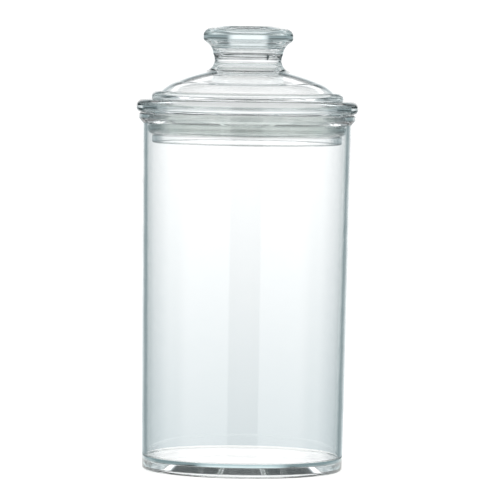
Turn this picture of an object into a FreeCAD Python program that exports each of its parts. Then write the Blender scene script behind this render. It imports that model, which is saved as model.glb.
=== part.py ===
"""A clear moulded display jar: tapered body, lift-off lid on a soft seal ring, and a hollow knob cap.

Every piece is a body of revolution about +Z. The origin is the middle of the foot ring's resting plane.
Lengths are in millimetres. An outline is drawn in the half plane (radius, height) and turned a full circle.
"""

import FreeCAD, Part
import math
import os

# Jar body
BODY_RADIUS_AT_FOOT = 51.85
BODY_RADIUS_AT_RIM = 54.10
BODY_WALL = 2.3
RIM_TOP = 184.7
RIM_RADIUS = 56.05
RIM_SIDE_BOTTOM = 181.9
RIM_ROOT = 179.6
RIM_EDGE_ROUND = 0.8
MOUTH_ROUND = 0.7
FLOOR_TOP = 7.2
FLOOR_CORNER_ROUND = 1.0
FOOT_CORNER_ROUND = 1.6
FOOT_INNER_ROUND = 0.5
FOOT_RING_WIDTH = 3.4
RECESS_DEPTH = 5.1
RECESS_STEP = 1.5
RECESS_SLOPE = 4.8
RECESS_ROUND = 1.6
GATE_MARK_RADIUS = 2.2
GATE_MARK_HEIGHT = 0.4

# Lid: skirt and foot bead
SKIRT_INNER_RADIUS = 46.8
SKIRT_OUTER_RADIUS = 49.2
SKIRT_BOTTOM = 169.3
SKIRT_BEAD_TOP = 173.5
SKIRT_BEAD_ROUND = 1.0
GROOVE_RADIUS = 48.2

# Lid: flange and collar
FLANGE_GAP = 0.2
FLANGE_RADIUS = 57.4
FLANGE_TOP_AT_COLLAR = 192.2
FLANGE_TOP_AT_EDGE = 191.4
FLANGE_UPPER_ROUND = 3.4
FLANGE_LOWER_ROUND = 2.8
COLLAR_RADIUS = 49.7
COLLAR_TOP = 196.0
COLLAR_ROUND = 2.8
COLLAR_ROOT_ROUND = 0.4

# Lid: dome and neck
LID_WALL = 2.2
CROWN_RADIUS = 97.3
CROWN_APEX = 209.2
KNUCKLE_RADIUS = 20.0
KNUCKLE_CENTRE_RADIUS = 30.5
NECK_RADIUS = 17.35
NECK_WAIST_ROUND = 6.0
NECK_SHOULDER = 215.7
SPIGOT_HEIGHT = 2.4
SPIGOT_RADIUS = 16.55
SPIGOT_EDGE_ROUND = 0.3
BORE_TOP_RADIUS = 15.5
BORE_FOOT_RADIUS = 16.7
STUB_RADIUS = 1.0
STUB_DEPTH = 0.6
STUB_REACH = 1.6
STUB_DROP = 1.2
STUB_BEARING = -55.0

# Knob cap
CAP_TOP = 230.0
LIP_RADIUS = 23.3
LIP_BOTTOM = 222.7
LIP_BOTTOM_ROUND = 2.2
LIP_SHOULDER_DROP = 1.9
LIP_TOP_ROUND = 4.0
COVE_TOP_RADIUS = 21.0
COVE_TOP = 221.0
COVE_BOTTOM_RADIUS = 18.1
COVE_SAG = 0.6
DISH_FLOOR = 227.4
DISH_RADIUS = 12.0
DISH_FLOOR_ROUND = 0.8
DISH_RIM_RADIUS = 14.5
DISH_RIM_ROUND = 0.6
CAP_BORE_RADIUS = 16.6
CAP_BORE_TOP = 218.9
CAP_CEILING = 222.3

# Seal ring
SEAL_INNER_RADIUS = 48.28
SEAL_RIB_RADIUS = 51.45
SEAL_NECK_RADIUS = 50.6
SEAL_BOTTOM = 173.75
SEAL_TOP = 184.5
UPPER_RIB_TOP = 181.6
UPPER_RIB_BOTTOM = 179.1
UPPER_RIB_ROUND = 0.5
LOWER_RIB_TOP = 178.4
LOWER_RIB_ROUND = 3.0
RIB_LIP_ROUND = 0.3


def section_point(radius, height):
    """The point of the half plane y = 0 at this radius and height."""
    return FreeCAD.Vector(radius, 0, height)


def line(start, end):
    """A straight edge between two (radius, height) points."""
    return Part.LineSegment(section_point(*start), section_point(*end)).toShape()


def arc_through(start, middle, end):
    """A circular edge through three (radius, height) points."""
    return Part.Arc(section_point(*start), section_point(*middle), section_point(*end)).toShape()


def on_circle(centre, radius, degrees):
    """The (radius, height) point of a circle in the half plane at this angle from the outward direction."""
    turn = math.radians(degrees)
    return centre[0] + radius * math.cos(turn), centre[1] + radius * math.sin(turn)


def arc_about(centre, radius, start_degrees, end_degrees):
    """A circular edge about a centre, from one angle to another the short way round."""
    ends = [on_circle(centre, radius, angle) for angle in (start_degrees, end_degrees)]
    middle = on_circle(centre, radius, (start_degrees + end_degrees) / 2)
    return arc_through(ends[0], middle, ends[1])


def arc_with_sag(start, end, sag):
    """A circular edge whose middle stands off its chord by the sag, to the left of the way it runs."""
    run = end[0] - start[0], end[1] - start[1]
    length = math.hypot(*run)
    middle = (
        (start[0] + end[0]) / 2 - sag * run[1] / length,
        (start[1] + end[1]) / 2 + sag * run[0] / length,
    )
    return arc_through(start, middle, end)


def rounded_path(corners):
    """Straight edges through (radius, height, round) corners, each with a tangent arc of that round."""
    joints = []
    for index, (radius, height, round_radius) in enumerate(corners):
        here = FreeCAD.Vector(radius, 0, height)
        if round_radius == 0 or index in (0, len(corners) - 1):
            joints.append((here, None, here))
            continue
        before = (section_point(*corners[index - 1][:2]) - here).normalize()
        after = (section_point(*corners[index + 1][:2]) - here).normalize()
        half_angle = before.getAngle(after) / 2
        setback = round_radius / math.tan(half_angle)
        bisector = (before + after).normalize()
        middle = here + bisector * (round_radius / math.sin(half_angle) - round_radius)
        joints.append((here + before * setback, middle, here + after * setback))
    edges = []
    for index, (entry, middle, leave) in enumerate(joints):
        if middle is not None:
            edges.append(Part.Arc(entry, middle, leave).toShape())
        if index + 1 < len(joints) and leave.distanceToPoint(joints[index + 1][0]) > 1e-6:
            edges.append(Part.LineSegment(leave, joints[index + 1][0]).toShape())
    return edges


def turned(edges):
    """The solid that a closed outline of edges sweeps in one full turn about Z."""
    wire = Part.Wire(Part.__sortEdges__(edges))
    solid = Part.Face(wire).revolve(FreeCAD.Vector(), FreeCAD.Vector(0, 0, 1), 360)
    return solid if solid.Volume > 0 else solid.reversed()


def body_radius(height):
    """The jar's outer radius at a height: its wall leans outwards by its moulding draft."""
    return BODY_RADIUS_AT_FOOT + (BODY_RADIUS_AT_RIM - BODY_RADIUS_AT_FOOT) * height / RIM_TOP


def jar_body():
    """The jar: thin drafted wall, floor raised on a sloped foot ring, and a rim that carries the lid."""
    recess_radius = BODY_RADIUS_AT_FOOT - FOOT_RING_WIDTH
    outline = rounded_path(
        [
            (0, FLOOR_TOP, 0),
            (body_radius(FLOOR_TOP) - BODY_WALL, FLOOR_TOP, FLOOR_CORNER_ROUND),
            (body_radius(RIM_TOP) - BODY_WALL, RIM_TOP, MOUTH_ROUND),
            (RIM_RADIUS, RIM_TOP, RIM_EDGE_ROUND),
            (RIM_RADIUS, RIM_SIDE_BOTTOM, RIM_EDGE_ROUND),
            (body_radius(RIM_ROOT), RIM_ROOT, RIM_EDGE_ROUND),
            (BODY_RADIUS_AT_FOOT, 0, FOOT_CORNER_ROUND),
            (recess_radius, 0, FOOT_INNER_ROUND),
            (recess_radius, RECESS_STEP, RECESS_ROUND),
            (recess_radius - RECESS_SLOPE, RECESS_DEPTH, RECESS_ROUND),
            (GATE_MARK_RADIUS, RECESS_DEPTH, 0),
            (GATE_MARK_RADIUS, RECESS_DEPTH - GATE_MARK_HEIGHT, 0),
            (0, RECESS_DEPTH - GATE_MARK_HEIGHT, 0),
        ]
    )
    axis = line((0, RECESS_DEPTH - GATE_MARK_HEIGHT), (0, FLOOR_TOP))
    return turned(outline + [axis])


def crown_centre():
    """The centre of the crown's arcs, on the axis."""
    return 0, CROWN_APEX - CROWN_RADIUS


def knuckle_centre_and_angle():
    """The centre of the knuckle's arcs, which are tangent to the crown's, and the angle where they meet."""
    rise = math.sqrt((CROWN_RADIUS - KNUCKLE_RADIUS) ** 2 - KNUCKLE_CENTRE_RADIUS**2)
    centre = (KNUCKLE_CENTRE_RADIUS, crown_centre()[1] + rise)
    return centre, math.degrees(math.atan2(rise, KNUCKLE_CENTRE_RADIUS))


def dome_outside():
    """The neck's waist, the crown and the knuckle, each tangent to the next, down to the collar's top."""
    waist_reach = NECK_RADIUS + NECK_WAIST_ROUND
    waist_rise = math.sqrt((CROWN_RADIUS + NECK_WAIST_ROUND) ** 2 - waist_reach**2)
    waist_centre = (waist_reach, crown_centre()[1] + waist_rise)
    waist_angle = math.degrees(math.atan2(waist_rise, waist_reach))
    shoulder_angle = math.degrees(math.asin((NECK_SHOULDER - waist_centre[1]) / NECK_WAIST_ROUND))
    knuckle_centre, knuckle_angle = knuckle_centre_and_angle()
    ledge_angle = math.degrees(math.asin((COLLAR_TOP - knuckle_centre[1]) / KNUCKLE_RADIUS))
    edges = [
        arc_about(waist_centre, NECK_WAIST_ROUND, 180 - shoulder_angle, 180 + waist_angle),
        arc_about(crown_centre(), CROWN_RADIUS, waist_angle, knuckle_angle),
        arc_about(knuckle_centre, KNUCKLE_RADIUS, knuckle_angle, ledge_angle),
    ]
    shoulder = on_circle(waist_centre, NECK_WAIST_ROUND, 180 - shoulder_angle)
    return edges, shoulder, on_circle(knuckle_centre, KNUCKLE_RADIUS, ledge_angle)


def dome_inside():
    """The inner faces of the crown and the knuckle, from the foot of the bore to the skirt's wall."""
    inner_crown = CROWN_RADIUS - LID_WALL
    inner_knuckle = KNUCKLE_RADIUS - LID_WALL
    bore_angle = math.degrees(math.acos(BORE_FOOT_RADIUS / inner_crown))
    knuckle_centre, knuckle_angle = knuckle_centre_and_angle()
    wall_angle = math.degrees(math.acos((SKIRT_INNER_RADIUS - knuckle_centre[0]) / inner_knuckle))
    edges = [
        arc_about(crown_centre(), inner_crown, bore_angle, knuckle_angle),
        arc_about(knuckle_centre, inner_knuckle, knuckle_angle, wall_angle),
    ]
    bore_foot = on_circle(crown_centre(), inner_crown, bore_angle)
    return edges, bore_foot, on_circle(knuckle_centre, inner_knuckle, wall_angle)


def lid_shell():
    """The lid: hollow neck, domed crown, collar, rounded flange and the skirt in the jar's mouth."""
    outside, shoulder, ledge = dome_outside()
    inside, bore_foot, wall_top = dome_inside()
    flange_bottom = RIM_TOP + FLANGE_GAP
    side = rounded_path(
        [
            (*ledge, 0),
            (COLLAR_RADIUS, COLLAR_TOP, COLLAR_ROUND),
            (COLLAR_RADIUS, FLANGE_TOP_AT_COLLAR, COLLAR_ROOT_ROUND),
            (FLANGE_RADIUS, FLANGE_TOP_AT_EDGE, FLANGE_UPPER_ROUND),
            (FLANGE_RADIUS, flange_bottom, FLANGE_LOWER_ROUND),
            (GROOVE_RADIUS, flange_bottom, 0),
            (GROOVE_RADIUS, SKIRT_BEAD_TOP, 0),
            (SKIRT_OUTER_RADIUS, SKIRT_BEAD_TOP, SKIRT_BEAD_ROUND / 2),
            (SKIRT_OUTER_RADIUS, SKIRT_BOTTOM, SKIRT_BEAD_ROUND),
            (SKIRT_INNER_RADIUS, SKIRT_BOTTOM, SKIRT_BEAD_ROUND / 2),
            (*wall_top, 0),
        ]
    )
    spigot_top = NECK_SHOULDER + SPIGOT_HEIGHT
    neck = rounded_path(
        [
            (*shoulder, 0),
            (SPIGOT_RADIUS, NECK_SHOULDER, 0),
            (SPIGOT_RADIUS, spigot_top, SPIGOT_EDGE_ROUND),
            (BORE_TOP_RADIUS, spigot_top, SPIGOT_EDGE_ROUND),
            (*bore_foot, 0),
        ]
    )
    return turned(outside + inside + side + neck).fuse(gate_stub()).removeSplitter()


def gate_stub():
    """The broken-off moulding gate on the neck, just under the joint with the cap."""
    bearing = math.radians(STUB_BEARING)
    outwards = FreeCAD.Vector(math.cos(bearing), math.sin(bearing), 0)
    root = outwards * (NECK_RADIUS - STUB_DEPTH)
    root.z = NECK_SHOULDER - STUB_DROP
    return Part.makeCylinder(STUB_RADIUS, STUB_REACH, root, outwards)


def knob_cap():
    """The hollow cap cemented on the neck: dished top, rolled lip, cove side and a domed cavity below."""
    cove_top = (COVE_TOP_RADIUS, COVE_TOP)
    cove_bottom = (COVE_BOTTOM_RADIUS, NECK_SHOULDER)
    top = rounded_path(
        [
            (0, DISH_FLOOR, 0),
            (DISH_RADIUS, DISH_FLOOR, DISH_FLOOR_ROUND),
            (DISH_RIM_RADIUS, CAP_TOP, DISH_RIM_ROUND),
            (LIP_RADIUS, CAP_TOP - LIP_SHOULDER_DROP, LIP_TOP_ROUND),
            (LIP_RADIUS, LIP_BOTTOM, LIP_BOTTOM_ROUND),
            (*cove_top, 0),
        ]
    )
    below = [
        arc_with_sag(cove_top, cove_bottom, -COVE_SAG),
        line(cove_bottom, (CAP_BORE_RADIUS, NECK_SHOULDER)),
        line((CAP_BORE_RADIUS, NECK_SHOULDER), (CAP_BORE_RADIUS, CAP_BORE_TOP)),
        ceiling_arc(),
        line((0, CAP_CEILING), (0, DISH_FLOOR)),
    ]
    return turned(top + below)


def ceiling_arc():
    """The cavity's domed ceiling: a circle centred on the axis through the bore's edge and the top."""
    rise = CAP_CEILING - CAP_BORE_TOP
    radius = (CAP_BORE_RADIUS**2 + rise**2) / (2 * rise)
    edge_angle = math.degrees(math.acos(CAP_BORE_RADIUS / radius))
    return arc_about((0, CAP_CEILING - radius), radius, edge_angle, 90)


def seal_ring():
    """The soft ring in the lid's groove, with two ribs that press on the jar's wall."""
    return turned(
        rounded_path(
            [
                (SEAL_INNER_RADIUS, SEAL_BOTTOM, 0),
                (SEAL_RIB_RADIUS, SEAL_BOTTOM, LOWER_RIB_ROUND),
                (SEAL_RIB_RADIUS, LOWER_RIB_TOP, RIB_LIP_ROUND),
                (SEAL_NECK_RADIUS, LOWER_RIB_TOP, 0),
                (SEAL_NECK_RADIUS, UPPER_RIB_BOTTOM, 0),
                (SEAL_RIB_RADIUS, UPPER_RIB_BOTTOM, RIB_LIP_ROUND),
                (SEAL_RIB_RADIUS, UPPER_RIB_TOP, UPPER_RIB_ROUND),
                (SEAL_NECK_RADIUS, SEAL_TOP, 0),
                (SEAL_INNER_RADIUS, SEAL_TOP, 0),
                (SEAL_INNER_RADIUS, SEAL_BOTTOM, 0),
            ]
        )
    )


def main():
    """Writes one STEP file for each piece and prints its volume."""
    os.makedirs("parts", exist_ok=True)
    for make in (jar_body, lid_shell, knob_cap, seal_ring):
        solid = make()
        solid.exportStep(f"parts/{make.__name__}.step")
        state = "valid" if solid.isValid() else "NOT VALID"
        print(make.__name__, state, round(solid.Volume / 1000, 2), "cm3")


main()
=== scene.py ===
"""Looks of a clear moulded display jar with a lift-off lid, a hollow knob cap and a soft seal ring.

Each piece is one closed surface of revolution: a half section of lines and arcs, carried round +Z.
"""

from __future__ import annotations

import logging
import math
from dataclasses import dataclass
from enum import Enum

import bpy
import numpy as np
from mathutils import Matrix, Vector


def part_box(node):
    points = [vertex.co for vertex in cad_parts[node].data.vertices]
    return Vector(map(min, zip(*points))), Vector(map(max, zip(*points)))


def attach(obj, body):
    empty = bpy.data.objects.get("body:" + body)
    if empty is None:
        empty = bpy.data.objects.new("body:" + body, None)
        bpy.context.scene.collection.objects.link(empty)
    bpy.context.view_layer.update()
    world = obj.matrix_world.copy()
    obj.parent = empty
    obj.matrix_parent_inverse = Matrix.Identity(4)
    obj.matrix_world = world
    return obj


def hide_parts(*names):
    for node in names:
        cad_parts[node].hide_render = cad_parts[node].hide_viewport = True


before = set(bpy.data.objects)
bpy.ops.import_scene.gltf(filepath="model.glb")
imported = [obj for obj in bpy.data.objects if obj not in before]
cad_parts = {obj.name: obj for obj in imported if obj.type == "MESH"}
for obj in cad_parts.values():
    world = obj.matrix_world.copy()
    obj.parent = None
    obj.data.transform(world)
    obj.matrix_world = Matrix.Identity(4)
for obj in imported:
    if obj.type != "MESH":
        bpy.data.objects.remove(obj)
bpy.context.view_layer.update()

LOG = logging.getLogger("display_jar")
MM = 0.001
TURN_STEPS = 288
ARC_STEP = math.radians(4.0)
EDGE_SOFTNESS = 0.12
SHARP_TURN = math.radians(2.0)


class Body(Enum):
    """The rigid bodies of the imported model."""

    JAR = "jar"
    SEAL = "seal"
    LID = "lid"


class Slot(Enum):
    """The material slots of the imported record."""

    ACRYLIC = "clear_acrylic"
    SEAL = "soft_seal"


def srgb(code: str) -> tuple[float, float, float, float]:
    """Turns an sRGB hex colour such as "d8dad4" into linear red, green, blue and alpha."""
    parts = np.array([int(code[i : i + 2], 16) for i in (0, 2, 4)]) / 255
    linear = np.where(parts <= 0.04045, parts / 12.92, ((parts + 0.055) / 1.055) ** 2.4)
    return (*linear.tolist(), 1.0)


def add_node(
    tree: bpy.types.NodeTree, kind: str, values: dict | None = None, **settings
) -> bpy.types.Node:
    """Adds a node with its settings and input values; a socket given as a value is linked.

    Args:
        tree: the node tree.
        kind: the node's type name.
        values: input name or index to a number, a vector, or the output socket that feeds it.
        settings: attributes of the node itself.

    Returns:
        The new node.
    """
    node = tree.nodes.new(kind)
    for name, value in settings.items():
        setattr(node, name, value)
    for key, value in (values or {}).items():
        socket = node.inputs[key]
        if isinstance(value, bpy.types.NodeSocket):
            tree.links.new(value, socket)
        else:
            socket.default_value = value
    return node


Point = tuple[float, float]
Span = tuple[float, float]


class Section:
    """A half section of (radius, height) points in millimetres, each with its outward normal.

    The outline runs with the material on its left, so an outward normal is the direction turned right.
    """

    def __init__(self) -> None:
        """Starts an empty outline."""
        self.runs: list[tuple[np.ndarray, np.ndarray]] = []

    def line(self, start: Point, end: Point) -> None:
        """Adds a straight run from one point to another."""
        run = np.subtract(end, start)
        length = float(np.hypot(*run))
        if length > 1e-6:
            normal = np.array([run[1], -run[0]]) / length
            self.runs.append((np.array([start, end], float), np.array([normal, normal])))

    def arc(self, centre: Point, radius: float, start: float, end: float) -> None:
        """Adds an arc: centre + radius * (cos a, sin a), with a from start to end in degrees.

        A rising angle bulges out of the material, and a falling one cuts into it.
        """
        angles = np.radians([start, end])
        steps = max(3, int(np.ceil(abs(angles[1] - angles[0]) / ARC_STEP)) + 1)
        ways = np.stack([np.cos(np.linspace(*angles, steps)), np.sin(np.linspace(*angles, steps))], axis=1)
        self.runs.append((np.array(centre) + radius * ways, ways if end > start else -ways))

    def bow(self, start: Point, end: Point, sag: float) -> None:
        """Adds an arc between two points; its middle is off the chord by the sag, outwards if positive."""
        run = np.subtract(end, start)
        chord = float(np.hypot(*run))
        outwards = np.array([run[1], -run[0]]) / chord * math.copysign(1.0, sag)
        radius = (chord**2 / 4 + sag**2) / (2 * abs(sag))
        centre = np.add(start, end) / 2 - outwards * (radius - abs(sag))
        first, last = (
            math.degrees(math.atan2(*np.subtract(place, centre)[::-1])) for place in (start, end)
        )
        turn = (last - first + 180) % 360 - 180
        self.arc(tuple(centre), radius, first, first + turn)

    def corners(self, corners: list[tuple[float, float, float]]) -> None:
        """Adds straight runs through (radius, height, round) corners, each rounded by a tangent arc.

        The first and last corners are where the runs start and end, and have no arc.
        """
        places = np.array([corner[:2] for corner in corners], float)
        runs = np.diff(places, axis=0)
        runs /= np.hypot(runs[:, 0], runs[:, 1])[:, None]
        rights = np.stack([runs[:, 1], -runs[:, 0]], axis=1)
        start = places[0]
        for i in range(1, len(corners) - 1):
            before, after = runs[i - 1], runs[i]
            turn = math.atan2(before[0] * after[1] - before[1] * after[0], float(before @ after))
            radius, side = corners[i][2], math.copysign(1.0, turn)
            setback = radius * math.tan(abs(turn) / 2)
            entry = places[i] - before * setback
            self.line(tuple(start), tuple(entry))
            if radius:
                first = math.degrees(math.atan2(*(side * rights[i - 1])[::-1]))
                centre = entry - side * rights[i - 1] * radius
                self.arc(tuple(centre), radius, first, first + math.degrees(turn))
            start = places[i] + after * setback
        self.line(tuple(start), tuple(places[-1]))

    def joined(self, closed: bool) -> tuple[np.ndarray, np.ndarray]:
        """Joins the runs; where two meet at a sharp corner, each is cut back a little to leave a soft edge.

        Args:
            closed: whether the last run meets the first.

        Returns:
            The points and their normals.
        """
        runs = [(points.copy(), normals.copy()) for points, normals in self.runs]
        pairs = list(zip(range(len(runs)), range(1, len(runs))))
        if closed:
            pairs.append((len(runs) - 1, 0))
        repeats = set()
        for here, after in pairs:
            turn = math.acos(float(np.clip(runs[here][1][-1] @ runs[after][1][0], -1, 1)))
            if turn < SHARP_TURN:
                repeats.add(here)
                continue
            for index, tip, inner in ((here, -1, -2), (after, 0, 1)):
                points, normals = runs[index]
                share = min(0.45, EDGE_SOFTNESS / float(np.hypot(*(points[inner] - points[tip]))))
                points[tip] += (points[inner] - points[tip]) * share
                normals[tip] += (normals[inner] - normals[tip]) * share
        kept = [(p[:-1], n[:-1]) if i in repeats else (p, n) for i, (p, n) in enumerate(runs)]
        points, normals = np.concatenate([p for p, _ in kept]), np.concatenate([n for _, n in kept])
        return points, normals / np.hypot(normals[:, 0], normals[:, 1])[:, None]

    def turned(self, name: str) -> bpy.types.Object:
        """Carries the section round Z as one smooth closed mesh with the outline's exact normals.

        Vertex (i, j) is (r_i cos t_j, r_i sin t_j, z_i) with t_j = 2 pi j / TURN_STEPS, in metres. An
        outline that starts and ends on the axis gets a pole at each end, with a fan of triangles.

        Args:
            name: the object's name.

        Returns:
            The object, linked to the scene.
        """
        ring = self.runs[0][0][0, 0] > 1e-9
        points, normals = self.joined(closed=ring)
        rings, slopes = (points, normals) if ring else (points[1:-1], normals[1:-1])
        angles = np.linspace(0, 2 * np.pi, TURN_STEPS, endpoint=False)
        around = np.stack([np.cos(angles), np.sin(angles)], axis=1)
        places, facing = (
            np.concatenate([row[:, None, :1] * around, np.repeat(row[:, None, 1:], TURN_STEPS, 1)], axis=2)
            for row in (rings * MM, slopes)
        )
        count = len(rings)
        bands = count if ring else count - 1
        row, column = np.meshgrid(np.arange(bands), np.arange(TURN_STEPS), indexing="ij")
        above, beside = (row + 1) % count, (column + 1) % TURN_STEPS
        quads = np.stack([row * TURN_STEPS + column, row * TURN_STEPS + beside,
                          above * TURN_STEPS + beside, above * TURN_STEPS + column], axis=-1).reshape(-1, 4)
        vertices, vertex_normals = places.reshape(-1, 3), facing.reshape(-1, 3)
        faces = quads.tolist()
        if not ring:
            first, base = len(vertices), (count - 1) * TURN_STEPS
            steps, after = np.arange(TURN_STEPS), (np.arange(TURN_STEPS) + 1) % TURN_STEPS
            faces += np.stack([np.full(TURN_STEPS, first), after, steps], axis=1).tolist()
            faces += np.stack([np.full(TURN_STEPS, first + 1), base + steps, base + after], axis=1).tolist()
            poles = [[0, 0, points[0, 1] * MM], [0, 0, points[-1, 1] * MM]]
            vertices = np.concatenate([vertices, poles])
            vertex_normals = np.concatenate([vertex_normals, [[0, 0, -1], [0, 0, 1]]])
        mesh = bpy.data.meshes.new(name)
        mesh.from_pydata(vertices, [], faces)
        mesh.shade_smooth()
        mesh.normals_split_custom_set_from_vertices(vertex_normals)
        piece = bpy.data.objects.new(name, mesh)
        bpy.context.scene.collection.objects.link(piece)
        return piece


def noise(tree: bpy.types.NodeTree, size: float, detail: float = 2.0) -> bpy.types.NodeSocket:
    """Noise with features about this many millimetres across, fixed to the piece, mostly 0.3 to 0.7."""
    where = add_node(tree, "ShaderNodeTexCoord")
    return add_node(tree, "ShaderNodeTexNoise", {
        "Vector": where.outputs["Object"], "Scale": 1 / (size * MM), "Detail": detail,
    }).outputs[0]


def spread(
    tree: bpy.types.NodeTree, value: bpy.types.NodeSocket, source: Span, target: Span
) -> bpy.types.NodeSocket:
    """Maps a value from one range to another and holds it inside the second."""
    return add_node(tree, "ShaderNodeMapRange", {
        "Value": value, "From Min": source[0], "From Max": source[1],
        "To Min": target[0], "To Max": target[1],
    }).outputs[0]


def mixed(
    tree: bpy.types.NodeTree, share: bpy.types.NodeSocket, first: str, second: str
) -> bpy.types.NodeSocket:
    """Mixes two sRGB hex colours by a share from 0 to 1."""
    return add_node(tree, "ShaderNodeMix", {
        0: share, 6: srgb(first), 7: srgb(second),
    }, data_type="RGBA").outputs[2]


def bumps(
    tree: bpy.types.NodeTree, layers: list[tuple[bpy.types.NodeSocket, float]]
) -> bpy.types.NodeSocket:
    """Lays height patterns over each other; each layer is its pattern and its height in millimetres."""
    normal: bpy.types.NodeSocket | None = None
    for pattern, height in layers:
        values = {"Height": pattern, "Distance": height * MM, "Strength": 1.0}
        if normal is not None:
            values["Normal"] = normal
        normal = add_node(tree, "ShaderNodeBump", values).outputs[0]
    return normal


@dataclass(frozen=True)
class ClearAcrylic:
    """Clear acrylic (PMMA), injection moulded in a polished mould.

    The eye sees glass, but not quite true: the melt's flow leaves a long shallow wave, 14 mm from crest to
    crest, with a finer one like orange peel. Hands and cloths leave faint hazy patches, and the foot ring,
    which slides over shelves, is scuffed. Thick sections show a pale teal, because red is absorbed most.
    """

    ior: float = 1.49
    absorption: tuple[float, float, float] = (4.6, 2.8, 2.6)
    density: float = 10.0
    wave_size: float = 14.0
    wave_height: float = 0.025
    peel_size: float = 3.0
    peel_height: float = 0.0015
    haze_size: float = 25.0
    haze_range: Span = (0.48, 0.68)
    haze_roughness: float = 0.03
    scuff_size: float = 1.2
    scuff_range: Span = (0.4, 0.6)
    scuff_share: Span = (0.3, 1.0)
    scuff_top: float = 1.2
    scuff_roughness: float = 0.3

    def roughness(self, tree: bpy.types.NodeTree) -> bpy.types.NodeSocket:
        """Polished, with hazy patches, and scuffs that fade out over the foot's lowest millimetre."""
        haze = spread(tree, noise(tree, self.haze_size), self.haze_range, (0.0, self.haze_roughness))
        where = add_node(tree, "ShaderNodeTexCoord")
        height = add_node(tree, "ShaderNodeSeparateXYZ", {0: where.outputs["Object"]}).outputs[2]
        fade = (self.scuff_top * MM, self.scuff_top * MM / 4)
        low = spread(tree, height, fade, (0.0, self.scuff_roughness))
        scratches = spread(tree, noise(tree, self.scuff_size, 5.0), self.scuff_range, self.scuff_share)
        scuffs = add_node(tree, "ShaderNodeMath", {0: low, 1: scratches}, operation="MULTIPLY").outputs[0]
        return add_node(tree, "ShaderNodeMath", {0: haze, 1: scuffs}, operation="MAXIMUM").outputs[0]

    def material(self) -> bpy.types.Material:
        """Builds the node material."""
        material = bpy.data.materials.new("moulded_clear_acrylic")
        material.use_nodes = True
        tree = material.node_tree
        tree.nodes.clear()
        wave, peel = noise(tree, self.wave_size, 1.0), noise(tree, self.peel_size)
        shader = add_node(tree, "ShaderNodeBsdfPrincipled", {
            "Base Color": (1, 1, 1, 1), "Roughness": self.roughness(tree), "IOR": self.ior,
            "Transmission Weight": 1.0,
            "Normal": bumps(tree, [(wave, self.wave_height), (peel, self.peel_height)]),
        })
        tint = add_node(tree, "ShaderNodeVolumeAbsorption", {
            "Color": (*(1 - a / self.density for a in self.absorption), 1.0), "Density": self.density,
        })
        ends = {"Surface": shader.outputs[0], "Volume": tint.outputs[0]}
        add_node(tree, "ShaderNodeOutputMaterial", ends)
        return material


@dataclass(frozen=True)
class SnappedAcrylicPaintedShade:
    """Clear acrylic where the gate was twisted off: crazed and torn, so it traps light and looks grey; that
    grey is painted shade in its base colour.
    """

    # Painted shade: these two greys stand in for the light that the torn facets throw away; the noise mixes
    # the two tones at random.
    colour: str = "5d6d70"
    pale: str = "a9b8ba"
    ior: float = 1.49
    tear_size: float = 0.5
    tear_height: float = 0.15
    roughness: Span = (0.15, 0.5)

    def material(self) -> bpy.types.Material:
        """Builds the node material."""
        material = bpy.data.materials.new("snapped_acrylic_painted_shade")
        material.use_nodes = True
        tree = material.node_tree
        tree.nodes.clear()
        tears = noise(tree, self.tear_size, 3.0)
        crazed = spread(tree, tears, (0.4, 0.65), (0.0, 1.0))
        # The base colour carries the painted shade of the snapped gate.
        shader = add_node(tree, "ShaderNodeBsdfPrincipled", {
            "Base Color": mixed(tree, crazed, self.colour, self.pale),
            "Roughness": spread(tree, tears, (0.3, 0.7), self.roughness),
            "IOR": self.ior, "Transmission Weight": 0.7, "Normal": bumps(tree, [(tears, self.tear_height)]),
        })
        add_node(tree, "ShaderNodeOutputMaterial", {"Surface": shader.outputs[0]})
        return material


@dataclass(frozen=True)
class SoftSeal:
    """Translucent food-grade silicone, compression moulded: milky, slightly green-grey, with a glossy skin.

    The filler clouds it unevenly, in patches 7 mm across, and the mould gives the skin a fine grain.
    """

    colour: str = "e9eeeb"
    cloudy: str = "dbe2df"
    ior: float = 1.41
    cloud_size: float = 7.0
    grain_size: float = 0.8
    grain_height: float = 0.004
    roughness: Span = (0.04, 0.12)

    def material(self) -> bpy.types.Material:
        """Builds the node material."""
        material = bpy.data.materials.new("translucent_silicone")
        material.use_nodes = True
        tree = material.node_tree
        tree.nodes.clear()
        cloud = spread(tree, noise(tree, self.cloud_size, 3.0), (0.35, 0.65), (0.0, 1.0))
        grain = noise(tree, self.grain_size, 3.0)
        shader = add_node(tree, "ShaderNodeBsdfPrincipled", {
            "Base Color": mixed(tree, cloud, self.colour, self.cloudy),
            "Roughness": spread(tree, grain, (0.35, 0.65), self.roughness),
            "IOR": self.ior, "Transmission Weight": 0.97,
            "Coat Weight": 1.0, "Coat Roughness": 0.08, "Coat IOR": 1.5,
            "Normal": bumps(tree, [(grain, self.grain_height)]),
        })
        add_node(tree, "ShaderNodeOutputMaterial", {"Surface": shader.outputs[0]})
        return material


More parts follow.
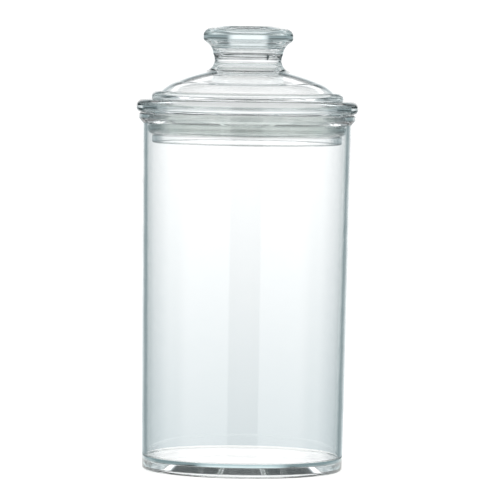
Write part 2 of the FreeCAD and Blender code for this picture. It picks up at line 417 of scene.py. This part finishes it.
@dataclass
class JarBody:
    """The jar: thin drafted wall, floor raised on a sloped foot ring, and a rolled rim. Millimetres."""

    foot_radius: float = 51.85
    neck_radius: float = 54.10
    wall: float = 2.3
    rim_side_bottom: float = 181.9
    rim_root: float = 179.6
    edge_round: float = 0.8
    mouth_round: float = 0.7
    floor_top: float = 7.2
    floor_round: float = 1.0
    foot_round: float = 1.6
    foot_width: float = 3.4
    recess_depth: float = 5.1
    recess_step: float = 1.5
    recess_slope: float = 4.8
    recess_round: float = 1.6
    gate_radius: float = 2.2
    gate_height: float = 0.4
    gate_edge: float = 0.1
    foot_inner_round: float = 0.5

    def section(self) -> Section:
        """The half section, from the middle of the underside round the wall to the middle of the floor."""
        rim_top, rim_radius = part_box("jar_body")[1].z / MM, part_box("jar_body")[1].x / MM
        lean = (self.neck_radius - self.foot_radius) / rim_top
        recess_radius = self.foot_radius - self.foot_width
        gate_foot = self.recess_depth - self.gate_height
        section = Section()
        section.corners([
            (0, gate_foot, 0),
            (self.gate_radius, gate_foot, self.gate_edge),
            (self.gate_radius, self.recess_depth, self.gate_edge),
            (recess_radius - self.recess_slope, self.recess_depth, self.recess_round),
            (recess_radius, self.recess_step, self.recess_round),
            (recess_radius, 0, self.foot_inner_round),
            (self.foot_radius, 0, self.foot_round),
            (self.foot_radius + lean * self.rim_root, self.rim_root, self.edge_round),
            (rim_radius, self.rim_side_bottom, self.edge_round),
            (rim_radius, rim_top, self.edge_round),
            (self.foot_radius + lean * rim_top - self.wall, rim_top, self.mouth_round),
            (self.foot_radius + lean * self.floor_top - self.wall, self.floor_top, self.floor_round),
            (0, self.floor_top, 0),
        ])
        return section

    def build(self, material: bpy.types.Material) -> bpy.types.Object:
        """Makes the jar and dresses it."""
        piece = self.section().turned("moulded_jar")
        return place(piece, Body.JAR, "jar_body", Slot.ACRYLIC, material)


@dataclass
class LidShell:
    """The lid: hollow neck, domed crown, collar, flange and the skirt inside the mouth. Millimetres."""

    skirt_inner: float = 46.8
    skirt_outer: float = 49.2
    bead_top: float = 173.5
    bead_round: float = 1.0
    groove_radius: float = 48.2
    flange_bottom: float = 184.9
    flange_top_inner: float = 192.2
    flange_top_outer: float = 191.4
    flange_upper_round: float = 3.4
    flange_lower_round: float = 2.8
    collar_radius: float = 49.7
    collar_top: float = 196.0
    collar_round: float = 2.8
    wall: float = 2.2
    crown_radius: float = 97.3
    crown_apex: float = 209.2
    knuckle_radius: float = 20.0
    knuckle_centre: float = 30.5
    neck_radius: float = 17.35
    neck_fillet: float = 6.0
    shoulder: float = 215.7
    spigot_radius: float = 16.55
    bore_top_radius: float = 15.5
    bore_foot_radius: float = 16.7
    bead_root_round: float = 0.15
    groove_top_round: float = 0.3
    collar_root_round: float = 0.4
    shoulder_root_round: float = 0.2
    spigot_round: float = 0.3

    def section(self) -> Section:
        """The half section, from the bore's foot out to the skirt, then up the outside to the neck."""
        skirt_bottom, spigot_top = (corner.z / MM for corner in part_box("lid_shell"))
        flange_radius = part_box("lid_shell")[1].x / MM
        crown = (0.0, self.crown_apex - self.crown_radius)
        fillet_reach = self.neck_radius + self.neck_fillet
        fillet_rise = math.sqrt((self.crown_radius + self.neck_fillet) ** 2 - fillet_reach**2)
        fillet = (fillet_reach, crown[1] + fillet_rise)
        fillet_angle = math.degrees(math.atan2(fillet_rise, fillet_reach))
        knuckle_rise = math.sqrt((self.crown_radius - self.knuckle_radius) ** 2 - self.knuckle_centre**2)
        knuckle = (self.knuckle_centre, crown[1] + knuckle_rise)
        knuckle_angle = math.degrees(math.atan2(knuckle_rise, self.knuckle_centre))
        inner_radius = self.knuckle_radius - self.wall
        wall_angle = math.degrees(math.acos((self.skirt_inner - knuckle[0]) / inner_radius))
        ledge_angle = math.degrees(math.asin((self.collar_top - knuckle[1]) / self.knuckle_radius))
        ledge_reach = self.knuckle_radius * math.cos(math.radians(ledge_angle))
        inner_crown = self.crown_radius - self.wall
        bore_angle = math.degrees(math.acos(self.bore_foot_radius / inner_crown))
        bore_foot = (self.bore_foot_radius, crown[1] + inner_crown * math.sin(math.radians(bore_angle)))
        shoulder_angle = 180 - math.degrees(math.asin((self.shoulder - fillet[1]) / self.neck_fillet))
        shoulder_radius = fillet[0] + self.neck_fillet * math.cos(math.radians(shoulder_angle))
        section = Section()
        section.arc(crown, inner_crown, bore_angle, knuckle_angle)
        section.arc(knuckle, inner_radius, knuckle_angle, wall_angle)
        section.corners([
            (self.skirt_inner, knuckle[1] + inner_radius * math.sin(math.radians(wall_angle)), 0),
            (self.skirt_inner, skirt_bottom, self.bead_round / 2),
            (self.skirt_outer, skirt_bottom, self.bead_round),
            (self.skirt_outer, self.bead_top, self.bead_round / 2),
            (self.groove_radius, self.bead_top, self.bead_root_round),
            (self.groove_radius, self.flange_bottom, self.groove_top_round),
            (flange_radius, self.flange_bottom, self.flange_lower_round),
            (flange_radius, self.flange_top_outer, self.flange_upper_round),
            (self.collar_radius, self.flange_top_inner, self.collar_root_round),
            (self.collar_radius, self.collar_top, self.collar_round),
            (knuckle[0] + ledge_reach, self.collar_top, 0),
        ])
        section.arc(knuckle, self.knuckle_radius, ledge_angle, knuckle_angle)
        section.arc(crown, self.crown_radius, knuckle_angle, fillet_angle)
        section.arc(fillet, self.neck_fillet, fillet_angle + 180, shoulder_angle)
        section.corners([
            (shoulder_radius, self.shoulder, 0),
            (self.spigot_radius, self.shoulder, self.shoulder_root_round),
            (self.spigot_radius, spigot_top, self.spigot_round),
            (self.bore_top_radius, spigot_top, self.spigot_round),
            (*bore_foot, 0),
        ])
        return section

    def build(self, material: bpy.types.Material) -> bpy.types.Object:
        """Makes the lid and dresses it."""
        piece = self.section().turned("moulded_lid")
        return place(piece, Body.LID, "lid_shell", Slot.ACRYLIC, material)


@dataclass
class KnobCap:
    """The hollow cap on the neck: dished top, rolled lip, cove side and a domed cavity. Millimetres."""

    lip_top_round: float = 4.0
    lip_bottom_round: float = 2.2
    lip_shoulder_drop: float = 1.9
    lip_bottom: float = 222.7
    cove_bottom_radius: float = 18.1
    cove_top_radius: float = 21.0
    cove_top: float = 221.0
    cove_sag: float = 0.6
    dish_floor: float = 227.4
    dish_radius: float = 12.0
    dish_rim: float = 14.5
    bore_radius: float = 16.6
    bore_top: float = 218.9
    ceiling: float = 222.3
    bore_edge: float = 0.15
    dish_rim_round: float = 0.6
    dish_floor_round: float = 0.8

    def section(self) -> Section:
        """The half section, from the ceiling's middle down the bore, then up the outside to the dish."""
        low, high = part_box("knob_cap")
        bottom, top, lip_radius = low.z / MM, high.z / MM, high.x / MM
        rise = self.ceiling - self.bore_top
        ceiling_radius = (self.bore_radius**2 + rise**2) / (2 * rise)
        ceiling_angle = math.degrees(math.acos(self.bore_radius / ceiling_radius))
        cove_top = (self.cove_top_radius, self.cove_top)
        section = Section()
        section.arc((0.0, self.ceiling - ceiling_radius), ceiling_radius, 90, ceiling_angle)
        section.corners([
            (self.bore_radius, self.bore_top, 0),
            (self.bore_radius, bottom, self.bore_edge),
            (self.cove_bottom_radius, bottom, 0),
        ])
        section.bow((self.cove_bottom_radius, bottom), cove_top, -self.cove_sag)
        section.corners([
            (*cove_top, 0),
            (lip_radius, self.lip_bottom, self.lip_bottom_round),
            (lip_radius, top - self.lip_shoulder_drop, self.lip_top_round),
            (self.dish_rim, top, self.dish_rim_round),
            (self.dish_radius, self.dish_floor, self.dish_floor_round),
            (0, self.dish_floor, 0),
        ])
        return section

    def build(self, material: bpy.types.Material) -> bpy.types.Object:
        """Makes the cap and dresses it."""
        piece = self.section().turned("moulded_knob_cap")
        return place(piece, Body.LID, "knob_cap", Slot.ACRYLIC, material)


@dataclass
class SealRing:
    """The soft ring in the lid's groove, with two ribs that meet the jar's wall. Millimetres."""

    inner_radius: float = 48.28
    neck_radius: float = 50.6
    upper_rib_top: float = 181.6
    upper_rib_bottom: float = 179.1
    lower_rib_top: float = 178.4
    lower_rib_round: float = 3.0
    upper_rib_round: float = 0.5
    rib_lip_round: float = 0.3
    corner_round: float = 0.2
    root_round: float = 0.1

    def section(self) -> Section:
        """The half section, from the lower inner corner out over the two ribs and back down the bore."""
        low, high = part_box("seal_ring")
        bottom, top, rib = low.z / MM, high.z / MM, high.x / MM
        section = Section()
        section.corners([
            (self.inner_radius, (bottom + top) / 2, 0),
            (self.inner_radius, bottom, self.corner_round),
            (rib, bottom, self.lower_rib_round),
            (rib, self.lower_rib_top, self.rib_lip_round),
            (self.neck_radius, self.lower_rib_top, self.root_round),
            (self.neck_radius, self.upper_rib_bottom, self.root_round),
            (rib, self.upper_rib_bottom, self.rib_lip_round),
            (rib, self.upper_rib_top, self.upper_rib_round),
            (self.neck_radius, top, self.corner_round),
            (self.inner_radius, top, self.corner_round),
            (self.inner_radius, (bottom + top) / 2, 0),
        ])
        return section

    def build(self, material: bpy.types.Material) -> bpy.types.Object:
        """Makes the seal and dresses it."""
        piece = self.section().turned("silicone_seal")
        return place(piece, Body.SEAL, "seal_ring", Slot.SEAL, material)


@dataclass
class GateMark:
    """The snapped-off gate on the neck: a jagged four-armed star, half sunk in the wall. Millimetres."""

    bearing: float = math.radians(-55.0)
    drop: float = 1.5
    half_width: float = 1.3
    half_height: float = 1.45
    depth: float = 0.6
    reach: float = 0.9
    spokes: int = 44
    rings: int = 9

    def build(self, material: bpy.types.Material, neck: LidShell) -> bpy.types.Object:
        """Makes the mark on the neck.

        For a turn t and a slope v, the surface stands out by cos v and spreads by sin v * star(t). The star
        has an arm at each quarter turn, and two sine waves break up its edge.

        Args:
            material: the torn plastic, whose grey base colour is painted shade.
            neck: the lid, which says where the neck's wall and shoulder are.

        Returns:
            The mark, which rides on the lid.
        """
        turn = np.linspace(0, 2 * np.pi, self.spokes, endpoint=False)
        slope = np.linspace(0, np.pi, self.rings + 2)[1:-1, None]
        arms = 0.4 + 0.6 * np.abs(np.cos(2 * turn)) ** 3
        star = arms * (1 + 0.13 * np.sin(7 * turn + 1) + 0.1 * np.sin(13 * turn))
        across = self.half_width * np.sin(slope) * star * np.cos(turn)
        up = self.half_height * np.sin(slope) * star * np.sin(turn)
        out = np.where(np.cos(slope) > 0, -self.depth, -self.reach) * np.cos(slope)
        out = out * (1 + 0.2 * np.sin(5 * turn + 2))
        ways = np.array([[math.cos(self.bearing), math.sin(self.bearing), 0],
                         [-math.sin(self.bearing), math.cos(self.bearing), 0], [0, 0, 1]])
        middle = ways[0] * neck.neck_radius + ways[2] * (neck.shoulder - self.drop)
        rows = np.stack([out, across, up], axis=-1).reshape(-1, 3)
        tips = np.array([[-self.depth, 0, 0], [self.reach, 0, 0]])
        vertices = (np.concatenate([rows, tips]) @ ways + middle) * MM
        row, column = np.meshgrid(np.arange(self.rings - 1), np.arange(self.spokes), indexing="ij")
        beside = (column + 1) % self.spokes
        quads = np.stack([row * self.spokes + column, row * self.spokes + beside,
                          (row + 1) * self.spokes + beside, (row + 1) * self.spokes + column], axis=-1)
        inner, last = self.rings * self.spokes, (self.rings - 1) * self.spokes
        steps, after = np.arange(self.spokes), (np.arange(self.spokes) + 1) % self.spokes
        faces = quads.reshape(-1, 4).tolist()
        faces += np.stack([np.full(self.spokes, inner), after, steps], axis=1).tolist()
        faces += np.stack([np.full(self.spokes, inner + 1), last + steps, last + after], axis=1).tolist()
        mesh = bpy.data.meshes.new("snapped_gate")
        mesh.from_pydata(vertices, [], faces)
        mesh.materials.append(material)
        piece = bpy.data.objects.new("snapped_gate", mesh)
        bpy.context.scene.collection.objects.link(piece)
        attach(piece, Body.LID.value)
        return piece


def place(
    piece: bpy.types.Object, body: Body, node: str, slot: Slot, material: bpy.types.Material
) -> bpy.types.Object:
    """Dresses a piece, lets it ride on its body and stand for its CAD node."""
    piece.data.materials.append(material)
    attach(piece, body.value)
    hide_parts(node)
    return piece


@dataclass(frozen=True)
class Camera:
    """A long lens a little above the knob, looking down at the jar, with a slight tilt of the frame."""

    distance: float = 2.622
    height: float = 0.2496
    aim: Vector = Vector((0.0025, 0.0, 0.1141))
    lens: float = 364.9
    roll: float = math.radians(0.88)

    def build(self) -> None:
        """Places the camera at (aim.x, -distance, height), turned by the roll about its line of sight."""
        data = bpy.data.cameras.new("camera")
        data.lens, data.sensor_width = self.lens, 36.0
        data.clip_start, data.clip_end = 0.1, 50.0
        camera = bpy.data.objects.new("camera", data)
        eye = Vector((self.aim.x, -self.distance, self.height))
        sight = (self.aim - eye).to_track_quat("-Z", "Y").to_matrix().to_4x4()
        camera.matrix_world = Matrix.Translation(eye) @ sight @ Matrix.Rotation(self.roll, 4, "Z")
        bpy.context.scene.collection.objects.link(camera)
        bpy.context.scene.camera = camera


@dataclass(frozen=True)
class Panel:
    """One soft-edged patch of the room, the same on the left and the right of the jar. Angles in degrees.

    Each range gives where the patch starts to show, is full, starts to fade and is gone. The azimuth is
    measured from straight behind the jar, and the elevation from the horizon.
    """

    azimuth: tuple[float, float, float, float]
    elevation: tuple[float, float, float, float]
    colour: str
    strength: float


ALL_ROUND = (-2.0, -1.0, 181.0, 182.0)


@dataclass(frozen=True)
class Studio:
    """A white sweep with softboxes in front, dim gaps beside the sweep and a small pale floor.

    A panel later in the list lies over the ones before it. What the camera sees directly is plain white, so
    the panels show only in what the pieces reflect and bend. The floor's lengths are in millimetres.
    """

    room: str = "a0abaf"
    room_strength: float = 1.0
    seen_white: float = 1.1
    floor_radius: float = 100.0
    floor_thickness: float = 4.0
    floor_edge: float = 1.0
    floor_clearance: float = 0.02
    floor_colour: str = "f2f2f0"
    floor_fleck: str = "ffffff"
    floor_glow: float = 0.85
    floor_grain: float = 1.5
    panels: tuple[Panel, ...] = (
        # The room in general: a dark ceiling with a ring of light at its edge, and a pale floor far below.
        Panel(ALL_ROUND, (33.0, 38.0, 91.0, 92.0), "456066", 0.25),
        Panel(ALL_ROUND, (22.0, 26.0, 31.0, 36.0), "ffffff", 1.9),
        Panel(ALL_ROUND, (-91.0, -90.0, -9.5, -7.0), "ffffff", 0.8),
        # The sweep's dark upper edge, and beside the sweep a pale wall over two dim gaps.
        Panel((-2.0, -1.0, 40.0, 50.0), (19.0, 22.0, 26.0, 30.0), "5f6f72", 0.25),
        Panel((15.0, 21.0, 60.0, 75.0), (5.0, 9.0, 24.0, 28.0), "e6f2f5", 0.62),
        Panel((15.0, 21.0, 48.0, 60.0), (-8.0, -6.0, 4.0, 9.0), "94a3a6", 0.92),
        Panel((15.0, 21.0, 48.0, 60.0), (-0.5, 2.0, 6.0, 9.0), "4c676d", 0.1),
        # The sweep itself, which gets dimmer and a little bluer towards its foot.
        Panel((-2.0, -1.0, 12.0, 21.0), (-8.5, -7.0, 12.0, 19.0), "e6f4f8", 0.76),
        Panel((-2.0, -1.0, 11.0, 20.0), (-7.0, -0.5, 12.0, 19.0), "ffffff", 1.2),
        # A dark table edge beside the sweep, and a pale wall at each side of the jar.
        Panel((15.0, 21.0, 48.0, 60.0), (-21.0, -17.0, -9.0, -7.0), "617c82", 0.25),
        Panel((66.0, 82.0, 112.0, 113.0), (-16.0, -10.0, 22.0, 28.0), "f4fafb", 0.8),
        # Behind the camera: a softbox to its left and right, with a dimmer gap between them.
        Panel((92.0, 112.0, 181.0, 182.0), (-16.0, -10.0, 44.0, 52.0), "ffffff", 0.6),
        Panel((92.0, 112.0, 161.0, 163.0), (-16.0, -10.0, 44.0, 52.0), "ffffff", 1.1),
    )

    def world(self) -> None:
        """Builds the surroundings: the room's colour, with each panel laid over it by its share."""
        world = bpy.data.worlds.new("white_sweep")
        bpy.context.scene.world = world
        world.use_nodes = True
        tree = world.node_tree
        tree.nodes.clear()
        way = add_node(tree, "ShaderNodeTexCoord")
        xyz = add_node(tree, "ShaderNodeSeparateXYZ", {0: way.outputs["Generated"]})
        side = add_node(tree, "ShaderNodeMath", {0: xyz.outputs[0]}, operation="ABSOLUTE")
        ways = {0: side.outputs[0], 1: xyz.outputs[1]}
        azimuth = add_node(tree, "ShaderNodeMath", ways, operation="ARCTAN2")
        elevation = add_node(tree, "ShaderNodeMath", {0: xyz.outputs[2]}, operation="ARCSINE")

        def share(angle: bpy.types.NodeSocket, start: float, end: float) -> bpy.types.NodeSocket:
            """Goes smoothly from 0 at the start angle to 1 at the end angle, in degrees."""
            ramp = add_node(tree, "ShaderNodeMapRange", {
                "Value": angle, "From Min": math.radians(start), "From Max": math.radians(end),
            }, interpolation_type="SMOOTHSTEP")
            return ramp.outputs["Result"]

        def product(*factors: bpy.types.NodeSocket) -> bpy.types.NodeSocket:
            """Multiplies the sockets."""
            total = factors[0]
            for factor in factors[1:]:
                pair = {0: total, 1: factor}
                total = add_node(tree, "ShaderNodeMath", pair, operation="MULTIPLY").outputs[0]
            return total

        def over(amount: bpy.types.NodeSocket, below: object, colour: tuple) -> bpy.types.NodeSocket:
            """Lays a colour over another by an amount from 0 to 1."""
            node = add_node(tree, "ShaderNodeMix", {0: amount, 6: below, 7: colour}, data_type="RGBA")
            return node.outputs[2]

        def bright(colour: str, strength: float) -> tuple[float, float, float, float]:
            """A linear colour multiplied by a strength."""
            return (*(strength * value for value in srgb(colour)[:3]), 1.0)

        az, el = azimuth.outputs[0], elevation.outputs[0]
        light: object = bright(self.room, self.room_strength)
        for panel in self.panels:
            a, e = panel.azimuth, panel.elevation
            across = product(share(az, a[0], a[1]), share(az, a[3], a[2]))
            amount = product(across, share(el, e[0], e[1]), share(el, e[3], e[2]))
            light = over(amount, light, bright(panel.colour, panel.strength))
        path = add_node(tree, "ShaderNodeLightPath")
        light = over(path.outputs["Is Camera Ray"], light, bright("ffffff", self.seen_white))
        background = add_node(tree, "ShaderNodeBackground", {"Color": light})
        add_node(tree, "ShaderNodeOutputWorld", {"Surface": background.outputs[0]})

    def floor(self) -> None:
        """Lays a pale matte disc under the jar."""
        bottom, top = -self.floor_thickness, -self.floor_clearance
        section = Section()
        section.corners([
            (0, bottom, 0),
            (self.floor_radius, bottom, self.floor_edge),
            (self.floor_radius, top, self.floor_edge),
            (0, top, 0),
        ])
        disc = section.turned("floor")
        material = bpy.data.materials.new("matte_white_laminate")
        material.use_nodes = True
        tree = material.node_tree
        tree.nodes.clear()
        grain = noise(tree, self.floor_grain, 3.0)
        shader = add_node(tree, "ShaderNodeBsdfPrincipled", {
            "Base Color": mixed(tree, grain, self.floor_colour, self.floor_fleck),
            "Roughness": spread(tree, grain, (0.3, 0.7), (0.6, 0.8)),
            "Emission Color": srgb(self.floor_colour), "Emission Strength": self.floor_glow,
            "Normal": bumps(tree, [(grain, self.floor_grain / 40)]),
        })
        add_node(tree, "ShaderNodeOutputMaterial", {"Surface": shader.outputs[0]})
        disc.data.materials.append(material)

    def build(self) -> None:
        """Lights the scene and lays the floor."""
        self.world()
        self.floor()
        scene = bpy.context.scene
        scene.view_settings.view_transform = "Standard"
        scene.cycles.max_bounces = 40
        scene.cycles.transmission_bounces = 40
        scene.cycles.glossy_bounces = 16


def main() -> None:
    """Builds the camera, the studio, the four pieces and the gate mark, and logs each piece's face count.
    """
    logging.basicConfig(level=logging.INFO, format="%(name)s: %(message)s")
    Camera().build()
    Studio().build()
    acrylic, silicone = ClearAcrylic().material(), SoftSeal().material()
    lid = LidShell()
    pieces = [maker.build(acrylic) for maker in (JarBody(), lid, KnobCap())]
    pieces.append(SealRing().build(silicone))
    # The gate mark's grey is painted shade.
    pieces.append(GateMark().build(SnappedAcrylicPaintedShade().material(), lid))
    for piece in pieces:
        LOG.info("%s: %d faces", piece.name, len(piece.data.polygons))


if __name__ == "__main__":
    main()
